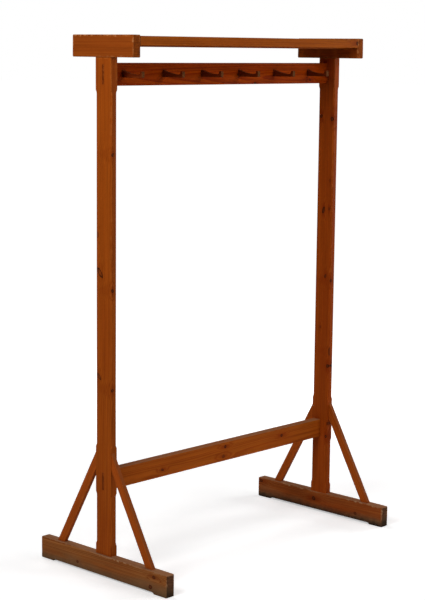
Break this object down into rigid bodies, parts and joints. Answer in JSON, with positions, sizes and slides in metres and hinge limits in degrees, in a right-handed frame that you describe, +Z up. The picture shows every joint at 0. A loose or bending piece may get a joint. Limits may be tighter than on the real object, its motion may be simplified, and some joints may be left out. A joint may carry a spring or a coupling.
{
  "type": "coat rack",
  "caption": "Free-standing wooden coat rack on two braced trestle feet, with a stretcher, a rail of upturned wooden hooks and a slatted hat shelf on top.",
  "frame": {"origin": "on the floor, at the centre of the rack's outline", "axes": "+Z up, +X along the stretcher towards the right trestle, -Y the front, where the hooks point"},
  "size_m": [1.102, 0.586, 1.706],
  "materials": {
    "post_wood": "stained and varnished pine, orange brown, satin",
    "rail_wood": "stained and varnished pine, red brown, satin",
    "brace_wood": "stained and varnished pine, satin",
    "cap_wood": "stained and varnished pine, satin, edges worn",
    "foot_wood": "stained pine, scuffed and dusty, matt",
    "hook_wood": "dark stained wood, satin",
    "shelf_wood": "stained and varnished pine, satin",
    "dowel_wood": "bare beech"
  },
  "bodies": {
    "root": {"left_foot": "foot_wood", "right_foot": "foot_wood", "left_post": "post_wood", "right_post": "post_wood", "left_front_brace": "brace_wood", "left_back_brace": "brace_wood", "right_front_brace": "brace_wood", "right_back_brace": "brace_wood", "brace_dowels": "dowel_wood", "stretcher": "rail_wood", "hook_rail": "rail_wood", "hook_1": "hook_wood", "hook_2": "hook_wood", "hook_3": "hook_wood", "hook_4": "hook_wood", "hook_5": "hook_wood", "hook_6": "hook_wood", "left_cap": "cap_wood", "right_cap": "cap_wood", "front_shelf_rail": "shelf_wood", "back_shelf_rail": "shelf_wood", "front_slat": "shelf_wood", "middle_slat": "shelf_wood", "back_slat": "shelf_wood"}
  },
  "joints": []
}
